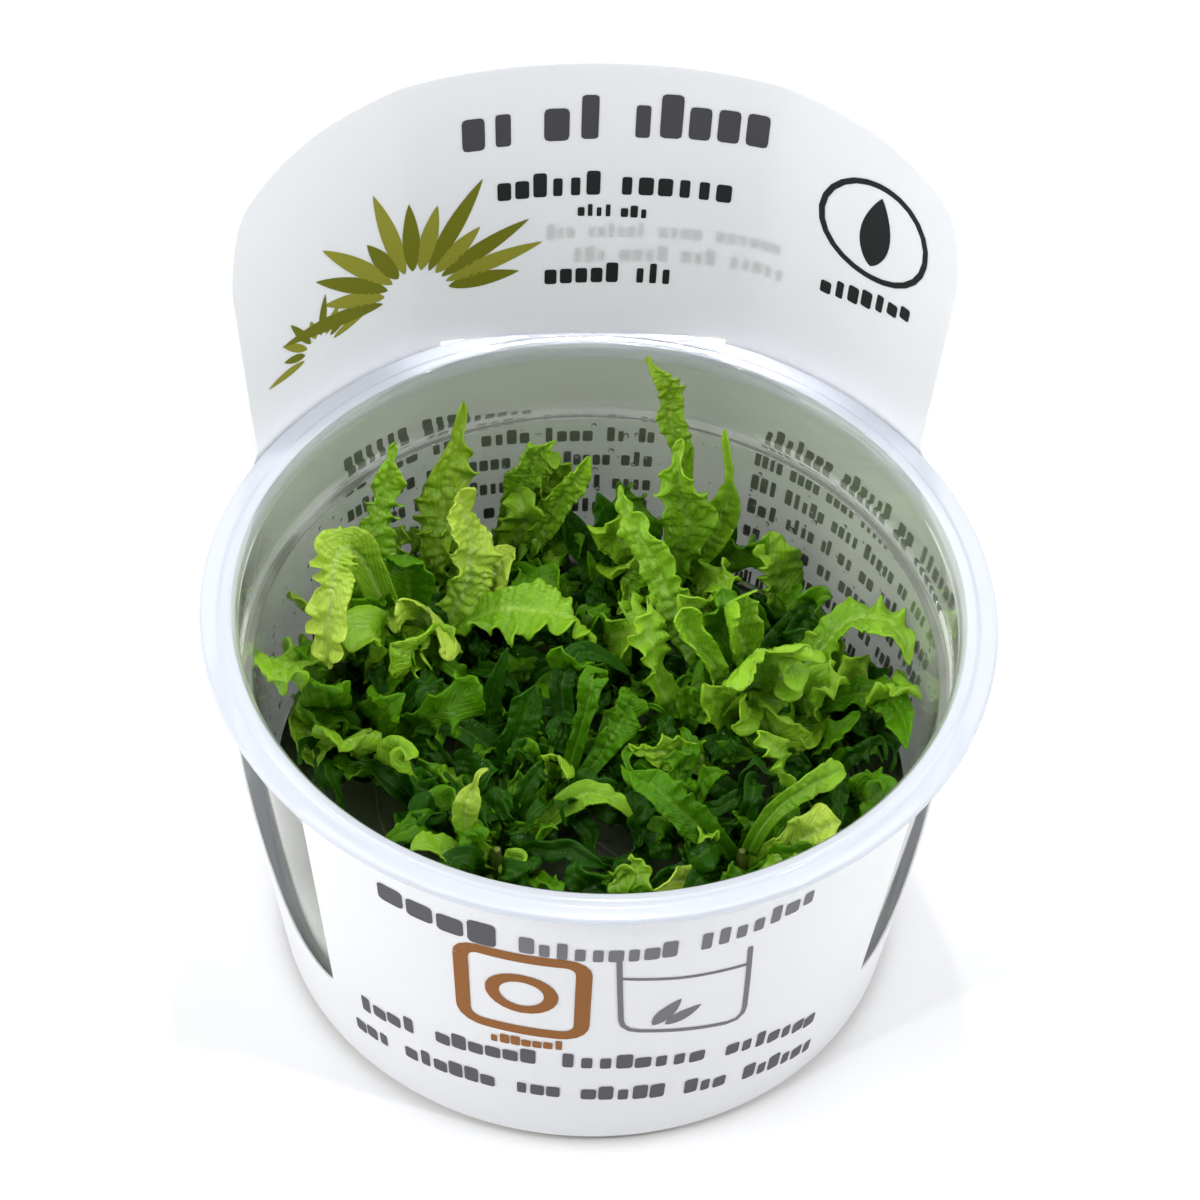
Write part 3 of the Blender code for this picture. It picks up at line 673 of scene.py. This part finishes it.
def leafFeet():
    # where each leaf leaves its crown: the flatter ones low down, the steep ones at the top
    feet = {}
    for crown, (x, y) in crowns.items():
        def steep(name):
            tip, arch = leaves[name][1:3]
            return (tip[2] - 28 + 2 * arch) / (math.hypot(tip[0] - x, tip[1] - y) + 4)
        mine = sorted((name for name in leaves if leaves[name][0] == crown), key=steep)
        for i, name in enumerate(mine):
            tip, bow, late = leaves[name][1], leaves[name][3], leaves[name][4]
            z = crownForm["leavesFrom"] + crownForm["leavesOver"] * (i + 0.5) / len(mine)
            start = leafSpine(Vector((x, y, z)), Vector(tip), 0.0, bow, late, 0.15)
            way = Vector((start.x - x, start.y - y, 0.0)).normalized()
            feet[name] = Vector((x, y, z)) + way * (crownRadius(z) + 0.5)
    return feet


# how single leaves differ from a plain blade: where they are widest (peak), a finger-like tip, how much
# the blade cups, how far the tip curls over in mm, how much broader than the solid and how ruffled it is,
# its twist in radians and wobble in mm, the foot's share of the width and the frills' length in mm
leafHabits = {
    "left_arching": {"peak": 0.6, "broad": 1.1, "ruffle": 1.45, "twist": 0.3, "foot": 0.6, "frill": 3.8},
    "left_upright": {"peak": 0.6, "finger": 0.1, "broad": 0.95, "ruffle": 1.3, "foot": 0.6},
    "left_tall": {"peak": 0.62, "finger": 0.14, "broad": 1.15, "ruffle": 1.4},
    "left_curled": {"peak": 0.75, "cup": 0.3, "curl": 3.0, "broad": 1.1, "ruffle": 1.9, "foot": 0.6},
    "left_narrow": {"peak": 0.7, "cup": 0.9, "broad": 1.3, "ruffle": 1.8, "foot": 0.6},
    "left_folded": {"peak": 0.5, "cup": 0.5, "curl": 4.0, "foot": 0.6},
    "left_hood": {"peak": 0.8, "cup": 0.7, "curl": 1.6, "broad": 1.3, "ruffle": 1.4, "foot": 0.6},
    "left_broad": {"peak": 0.55, "broad": 1.1, "ruffle": 1.2, "foot": 0.6, "frill": 4.2, "twist": -0.3},
    "left_wall": {"peak": 0.8, "broad": 1.0, "ruffle": 1.6},
    "left_front": {"peak": 0.7, "broad": 1.25, "ruffle": 1.4, "foot": 0.6},
    "back_left_long": {"peak": 0.55, "finger": 0.1, "broad": 1.1, "ruffle": 1.4},
    "back_left_split": {"peak": 0.6, "finger": 0.12, "broad": 1.1, "ruffle": 1.3},
    "back_left_side": {"peak": 0.6, "broad": 1.2, "ruffle": 1.3},
    "back_tall": {"peak": 0.55, "finger": 0.08, "broad": 0.75, "ruffle": 1.1, "wobble": 2.2},
    "back_star": {"peak": 0.55, "finger": 0.12, "broad": 0.95, "ruffle": 1.3, "wobble": 2.6, "frill": 5.0},
    "back_side": {"peak": 0.5, "finger": 0.2, "broad": 1.0},
    "right_long": {"peak": 0.5, "broad": 0.9, "ruffle": 1.3, "foot": 0.52},
    "right_spoon": {"peak": 0.9, "cup": 0.8, "curl": 1.5, "ruffle": 0.9, "foot": 0.52},
    "right_hooded": {"peak": 0.88, "cup": 0.8, "curl": 2.5, "broad": 1.3, "foot": 0.52},
    "right_crinkled": {"peak": 0.86, "cup": 0.5, "curl": 2.5, "broad": 1.1, "ruffle": 2.1, "foot": 0.52,
                       "frill": 3.0},
    "right_reaching": {"peak": 0.6, "broad": 1.1, "ruffle": 1.1, "foot": 0.52},
    "right_broad": {"peak": 0.6, "broad": 1.0, "ruffle": 0.9},
    "right_outer": {"peak": 0.6, "broad": 1.0, "ruffle": 1.1},
    "right_forward": {"peak": 0.7, "finger": 0.1, "broad": 1.0, "ruffle": 1.4},
    "centre_blade": {"peak": 0.75, "broad": 0.75, "ruffle": 0.7, "foot": 0.5},
    "centre_hooked": {"peak": 0.85, "broad": 1.1, "ruffle": 1.1},
    "centre_arch": {"peak": 0.6, "broad": 0.8, "ruffle": 0.7},
    "centre_forked": {"peak": 0.95, "cup": 0.3, "broad": 1.0, "ruffle": 1.5, "foot": 0.5},
    "centre_ruffled": {"peak": 0.8, "broad": 1.0, "ruffle": 1.5},
    "front_left_blade": {"peak": 0.45, "finger": 0.25, "broad": 0.8},
    "front_right_big": {"peak": 0.5, "broad": 0.85, "ruffle": 0.7, "foot": 0.5},
    "front_right_thin": {"peak": 0.85, "broad": 1.1},
    "front_right_pale": {"peak": 0.7, "broad": 1.1, "ruffle": 1.1},
}


def leafWidth(t, width, peak, finger, share):
    # a strap: its foot is this share of the width, it is widest at the peak, its tip is round or a finger
    foot = 0.8 + share * width
    grow = foot + (width - foot) * smoothStep(0.0, peak, t)
    slim = 0.24 if finger else 0.0
    closing = min(max(0.0, (t - peak) / (1 - finger - peak)), 1.0)
    body = slim + (1 - slim) * (1 - closing ** 2.6) ** 0.75
    end = math.sqrt(max(0.0, 1 - max(0.0, (t - 0.94) / 0.06) ** 2)) if finger else 1.0
    return max(0.2, grow * body * end)


leafForm = {
    "thickness": 0.26, "steps": 180, "sides": 16, "frill": 4.6, "foot": 0.42,  # mm, and the foot's share
    "wander": 9.0, "crimpRate": 2.6, "crimpFold": 0.15, "crimpLobe": 0.22, "rough": 0.7,  # the frills' beat
    "lobes": 0.2, "ragged": 0.4, "lean": 0.2, "dish": 0.2, "puff": 0.8,  # shares of the half width or frill
    "groove": 0.28, "grooveWidth": 0.45,  # the sunk midrib, in mm
}


def growLeaf(plan, foot, seed, steps, sides, habit):
    # a grid along the midrib: both margins run in frills that lean over, the blade is puffed between veins
    _, tip, arch, bow, late, width, facing, ruffle, tone = plan
    tip = Vector(tip)
    front = {"front": Vector((0.0, -0.66, 0.75)), "up": Vector((0.0, 0.0, 1.0))}[facing]
    luck = random.Random(seed)
    phase = [luck.uniform(0, 6.28) for _ in range(6)]
    length = (tip - foot).length + abs(arch)
    frills = length / habit.get("frill", leafForm["frill"])
    width *= habit.get("broad", 1.0)
    ruffle = max(habit.get("ruffle", ruffle), 0.5)
    peak, finger = habit.get("peak", 0.6), habit.get("finger", 0.0)
    twist = habit.get("twist", luck.uniform(-0.7, 0.7))
    wobble = habit.get("wobble", 1.4)
    blade = gridCopy(steps, sides)
    for vert in blade.data.vertices:
        t, across = (vert.co.x + 1) / 2, vert.co.y
        here = leafSpine(foot, tip, arch, bow, late, t)
        ahead = leafSpine(foot, tip, arch, bow, late, min(t + 0.02, 1.0))
        behind = leafSpine(foot, tip, arch, bow, late, max(t - 0.02, 0.0))
        tangent = (ahead - behind).normalized()
        normal = (front - tangent * front.dot(tangent)).normalized()
        side = normal.cross(tangent)
        angle = twist * smoothStep(0.25, 1.0, t) + 0.6 * noise.noise(Vector((t * 2.6, phase[5], 1)))
        cos, sin = math.cos(angle), math.sin(angle)
        side, normal = side * cos + normal * sin, normal * cos - side * sin
        loose = wobble * smoothStep(0.15, 0.6, t)
        sway = side * noise.noise(Vector((t * 3.1, phase[0], 4)))
        sway += normal * noise.noise(Vector((t * 3.1, phase[1], 8)))
        here = here + sway * loose
        half = leafWidth(t, width, peak, finger, habit.get("foot", leafForm["foot"])) / 2
        hand = 0 if across < 0 else 1
        edge = abs(across) ** 1.6
        grown = smoothStep(0.06, 0.42, t) * ruffle
        wander = leafForm["wander"] * noise.noise(Vector((t * frills * 0.4, 3 * hand, phase[0])))
        beat = 6.2832 * frills * t + phase[hand] + wander
        deep = min(max(0.1, 0.7 + 2.0 * noise.noise(Vector((t * frills * 0.5, 7 + hand, phase[1])))), 1.5)
        ragged = noise.noise(Vector((t * frills * 0.5, 11 + hand, phase[2])))
        crimp = leafForm["crimpRate"] * beat + phase[3]
        fold = math.sin(beat) * deep + leafForm["crimpFold"] * math.sin(crimp)
        fold += leafForm["rough"] * noise.noise(Vector((t * frills * 1.7, 9 + 3 * hand, phase[3])))
        lobe = (math.cos(beat) + leafForm["crimpLobe"] * math.cos(crimp)) * 0.7 * deep
        puff = abs(noise.noise(Vector((t * length / 1.5, across * half / 1.2, phase[4])))) - 0.2
        size = min(0.8, 0.2 + 0.2 * half)
        spread = across * half * (1 + grown * edge * (leafForm["lobes"] * lobe + leafForm["ragged"] * ragged))
        lift = abs(across) * leafForm["dish"] * half + edge * size * grown * fold
        lift += leafForm["puff"] * min(half, 1.6) / 1.6 * grown * puff
        groove = math.exp(-(across * half / leafForm["grooveWidth"]) ** 2)
        lift -= leafForm["groove"] * groove * smoothStep(0.05, 0.3, t)
        lift += habit.get("cup", 0.0) * across ** 2 * half * smoothStep(0.2, 0.8, t)
        lean = edge * size * leafForm["lean"] * grown * math.cos(beat) * deep
        over = max(0.0, (t - 0.7) / 0.3) ** 2 * habit.get("curl", 0.0)
        here = here + normal * over - tangent * (over * 0.6)
        vert.co = (here + side * spread + normal * lift + tangent * lean) * mm
    return blade


feet = leafFeet()
for name, plan in leaves.items():
    blade = growLeaf(plan, feet[name], name, leafForm["steps"], leafForm["sides"], leafHabits.get(name, {}))
    tone = plan[-1]
    finishPiece(thicken(blade, leafForm["thickness"]), "leaf_" + name + "_blade", leafLooks[tone],
                ["leaf_" + name], 180)
print("leaves grown:", len(leaves))


def keepInside(point, limit):
    # pulls a point in to at most this distance from the axis
    flat = math.hypot(point.x, point.y)
    if flat > limit:
        point.x, point.y = point.x * limit / flat, point.y * limit / flat


# Understory: the shaded straps and ragged small leaves that fill the pot between the long ones
understory = {
    "seed": 11, "limit": 42.0, "foot": (1.2, 25.2), "steps": 48, "sides": 8,
    # kind: (reach, height of the tip, width, ruffle, arch, tones, habit)
    "kinds": {
        "strap": ((8, 17), (27, 36), (2.4, 3.6), 0.9, (2, 7), ["dark", "dark", "mid"],
                  {"peak": 0.5, "finger": 0.15, "wobble": 3.2, "frill": 3.4}),
        "ragged": ((4, 10), (27, 36), (3.2, 4.8), 1.5, (1, 4), ["mid", "dark", "dark"],
                   {"peak": 0.75, "wobble": 3.0, "frill": 3.4}),
        "young": ((4, 9), (29, 38), (2.4, 3.6), 1.1, (1, 4), ["lime", "mid", "mid"],
                  {"peak": 0.7, "finger": 0.1, "wobble": 2.4, "frill": 3.2}),
        "fresh": ((8, 16), (34, 48), (5.2, 7.8), 1.6, (-1, 3), ["lime", "lime", "mid", "mid"],
                  {"peak": 0.7, "wobble": 2.8, "foot": 0.4}),
    },
    # (x, y, straps, ragged, young, fresh) round each foot, in mm
    "feet": [(-26, 21, 8, 7, 2, 15), (-12, 37, 7, 5, 1, 7), (12, 33, 9, 6, 1, 6), (24, 9, 9, 8, 2, 12),
             (-4, -4, 11, 9, 3, 0), (-14, -17, 8, 9, 5, 0), (20, -18, 8, 9, 4, 1), (-31, 3, 7, 7, 1, 6),
             (4, 16, 11, 9, 0, 1), (2, -29, 6, 8, 6, 0), (33, -5, 9, 8, 1, 2), (-12, 10, 11, 9, 0, 0),
             (10, -9, 10, 8, 3, 0), (-20, -8, 9, 9, 1, 0), (27, 22, 9, 7, 0, 3), (0, 26, 9, 8, 0, 1),
             (14, 2, 9, 7, 1, 1), (-34, 12, 4, 5, 0, 6), (-14, 23, 9, 8, 1, 2), (38, 8, 5, 6, 0, 1)],
}
luck = random.Random(understory["seed"])
for spot, (x, y, *counts) in enumerate(understory["feet"]):
    grown = {}
    for (kind, numbers), count in zip(understory["kinds"].items(), counts):
        reaches, heights, widths, ruffle, arches, tones, habit = numbers
        for i in range(count):
            way = 6.283 * (i + luck.uniform(-0.4, 0.4)) / count
            reach, z = luck.uniform(*reaches), luck.uniform(*heights)
            tip = Vector((x + math.cos(way) * reach, y + math.sin(way) * reach, z))
            keepInside(tip, understory["limit"])
            out, low = understory["foot"]
            foot = Vector((x + math.cos(way) * out, y + math.sin(way) * out, low))
            tone = luck.choice(tones)
            plan = ("", tip, luck.uniform(*arches), luck.uniform(-3, 3), luck.choice([0.7, 1.0, 1.5]),
                    luck.uniform(*widths), luck.choice(["front", "up", "front"]), ruffle, tone)
            seed = f"{spot} {kind} {i}"
            blade = growLeaf(plan, foot, seed, understory["steps"], understory["sides"], habit)
            grown.setdefault(tone, []).append(blade)
    for tone, blades in grown.items():
        clump = thicken(joinPieces(blades), leafForm["thickness"])
        finishPiece(clump, f"understory_{spot}_{tone}", leafLooks[tone], (), 180)
print("understory grown")

# Roots: fine threads in the jelly below each foot
roots = {"seed": 4, "count": 6, "reach": (6, 22), "depth": (3.5, 17), "radius": (0.16, 0.34), "points": 14,
         "limit": 41.0, "top": 24.0, "lowest": 2.6, "sag": 6, "drift": 3.0}
# root skin: tan, matt, a little browner in patches of about 5 mm
rootSkin, tree, shader = newMaterial("rootSkin", Roughness=0.6, IOR=1.4)
body = addNode(tree, "ShaderNodeTexCoord")
patches = addNode(tree, "ShaderNodeTexNoise", {"Scale": 180.0, "Detail": 2.0},
                  {"Vector": body.outputs["Object"]})
ramp = addNode(tree, "ShaderNodeValToRGB", {"stops": [(0.35, fromHex("#8A6F48")), (0.7, fromHex("#CDB890"))]},
               {0: patches.outputs[0]})
tree.links.new(ramp.outputs[0], shader.inputs["Base Color"])
luck = random.Random(roots["seed"])
threads = []
for x, y, *_ in understory["feet"]:
    for i in range(roots["count"]):
        way, reach = luck.uniform(0, 6.283), luck.uniform(*roots["reach"])
        end = Vector((x + math.cos(way) * reach, y + math.sin(way) * reach, luck.uniform(*roots["depth"])))
        keepInside(end, roots["limit"])
        start = Vector((x, y, roots["top"]))
        curve = bpy.data.curves.new("root", "CURVE")
        curve.dimensions, curve.use_fill_caps = "3D", True
        curve.bevel_depth, curve.bevel_resolution = luck.uniform(*roots["radius"]) * mm, 0
        spline = curve.splines.new("POLY")
        spline.points.add(roots["points"] - 1)
        drift = luck.uniform(0, 50)
        for k, point in enumerate(spline.points):
            t = k / (roots["points"] - 1)
            spot = start.lerp(end, t) + Vector((0, 0, -roots["sag"] * t * (1 - t)))
            spot += noise.noise_vector(Vector((t * 2.4, drift, 0))) * (roots["drift"] * t)
            spot.z = max(spot.z, roots["lowest"])
            point.co = (*(spot * mm), 1.0)
            point.radius = 1.0 - 0.65 * t
        thread = bpy.data.objects.new("root", curve)
        bpy.context.scene.collection.objects.link(thread)
        clearSelection()
        thread.select_set(True)
        bpy.context.view_layer.objects.active = thread
        bpy.ops.object.convert(target="MESH")
        threads.append(bpy.context.object)
finishPiece(joinPieces(threads), "roots", rootSkin, (), 60)
print("roots made")

# Droplets: condensation on the inside of the wall
droplets = {"seed": 9, "count": 220, "angles": (-110, 110), "heights": (29, 50), "radius": (0.14, 0.45),
            "wall": 42.75, "taper": 0.089}
# condensed water: clear beads that catch the light
water = newMaterial("waterBeads", Base_Color=fromHex("#FFFFFF"), Roughness=0.0, IOR=1.33,
                    Transmission_Weight=1.0)[0]
luck = random.Random(droplets["seed"])
clearSelection()
bpy.ops.mesh.primitive_uv_sphere_add(segments=10, ring_count=6, radius=1.0)
bead = bpy.context.object
beads = []
for i in range(droplets["count"]):
    copy = bead.copy()
    copy.data = bead.data.copy()
    bpy.context.scene.collection.objects.link(copy)
    angle, z = math.radians(luck.uniform(*droplets["angles"])), luck.uniform(*droplets["heights"])
    size = luck.uniform(droplets["radius"][0], droplets["radius"][1] ** luck.choice([1, 1, 1.8]))
    wall = droplets["wall"] + droplets["taper"] * z
    squash, long = luck.uniform(0.3, 0.5), luck.uniform(1.0, 1.5)
    out = Vector((math.sin(angle), math.cos(angle), 0))
    along = Vector((math.cos(angle), -math.sin(angle), 0))
    for vert in copy.data.vertices:
        a, b, c = vert.co
        raised = Vector((0, 0, z + c * size * long))
        vert.co = (out * (wall + b * size * squash) + along * (a * size) + raised) * mm
    beads.append(copy)
bpy.data.objects.remove(bead, do_unlink=True)
finishPiece(joinPieces(beads), "condensation", water, (), 180)
print("droplets made")

# soft stem tissue: pale green, matt, with blotches of about 2 mm
stemTissue, tree, shader = newMaterial("stemTissue", Roughness=0.5, IOR=1.4)
body = addNode(tree, "ShaderNodeTexCoord")
grain = addNode(tree, "ShaderNodeTexNoise", {"Scale": 500.0, "Detail": 3.0},
                {"Vector": body.outputs["Object"]})
ramp = addNode(tree, "ShaderNodeValToRGB", {"stops": [(0.3, fromHex("#5C6E24")), (0.7, fromHex("#9BA85A"))]},
               {0: grain.outputs[0]})
tree.links.new(ramp.outputs[0], shader.inputs["Base Color"])
for name in crowns:
    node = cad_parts["crown_" + name]
    for slot in node.material_slots:
        slot.material = stemTissue

for grid in grids.values():
    bpy.data.objects.remove(grid, do_unlink=True)

# Floor, world and studio lights
bpy.ops.object.select_all(action="DESELECT")
bpy.ops.mesh.primitive_plane_add(size=8, location=(0, 0, 0))
floor = bpy.context.object
floor.name = "floor"
floor.data.materials.append(newMaterial("paleFloor", Base_Color=fromHex("#FCFCFC"), Roughness=0.9)[0])

world = bpy.data.worlds.new("studio")
bpy.context.scene.world = world
world.use_nodes = True
world.node_tree.nodes["Background"].inputs["Color"].default_value = (1, 1, 1, 1)
world.node_tree.nodes["Background"].inputs["Strength"].default_value = 0.36
softboxes = {
    "leftBox": ((-1.12, -0.2, 0.72), 1.0, 10.8),
    "rightBox": ((1.12, -0.1, 0.72), 1.0, 8.0),
    "topBox": ((0.0, 0.25, 1.3), 0.9, 4.0),
    # small and bright: the glints on wet leaves and along the plastic's edges
    "leftSpark": ((-0.5, -0.45, 0.85), 0.03, 1.2),
    "rightSpark": ((0.55, -0.35, 0.8), 0.03, 1.1),
    "topSpark": ((0.05, 0.35, 0.95), 0.03, 1.1),
}
for name, (place, size, power) in softboxes.items():
    bpy.ops.object.light_add(type="AREA", location=place)
    lamp = bpy.context.object
    lamp.name = name
    lamp.data.size = size
    lamp.data.energy = power
    lamp.rotation_euler = (Vector((0, 0, 0.04)) - Vector(place)).to_track_quat("-Z", "Y").to_euler()

# a narrow strip light that only the cup sees, past the tab: the bright band on the rear of the flange
strip = {"spot": (0.0058, 0.0478, 0.0638), "distance": 0.25, "size": (0.062, 0.012), "spread": 2.5,
         "power": 0.0022}
spot = Vector(strip["spot"])
way = spot - viewer.location
way.z = -way.z
bpy.ops.object.light_add(type="AREA", location=spot + way.normalized() * strip["distance"])
lamp = bpy.context.object
lamp.name = "stripLight"
lamp.data.shape, (lamp.data.size, lamp.data.size_y) = "RECTANGLE", strip["size"]
lamp.data.spread, lamp.data.energy = math.radians(strip["spread"]), strip["power"]
lamp.rotation_euler = (-way).to_track_quat("-Z", "Y").to_euler()
links = (("receiver_collection", cupPiece, "INCLUDE"), ("blocker_collection", sleevePiece, "EXCLUDE"))
for key, piece, state in links:
    group = bpy.data.collections.new(key)
    group.objects.link(piece)
    group.collection_objects[0].light_linking.link_state = state
    setattr(lamp.light_linking, key, group)
bpy.context.scene.view_settings.view_transform = "Standard"
print("studio set")
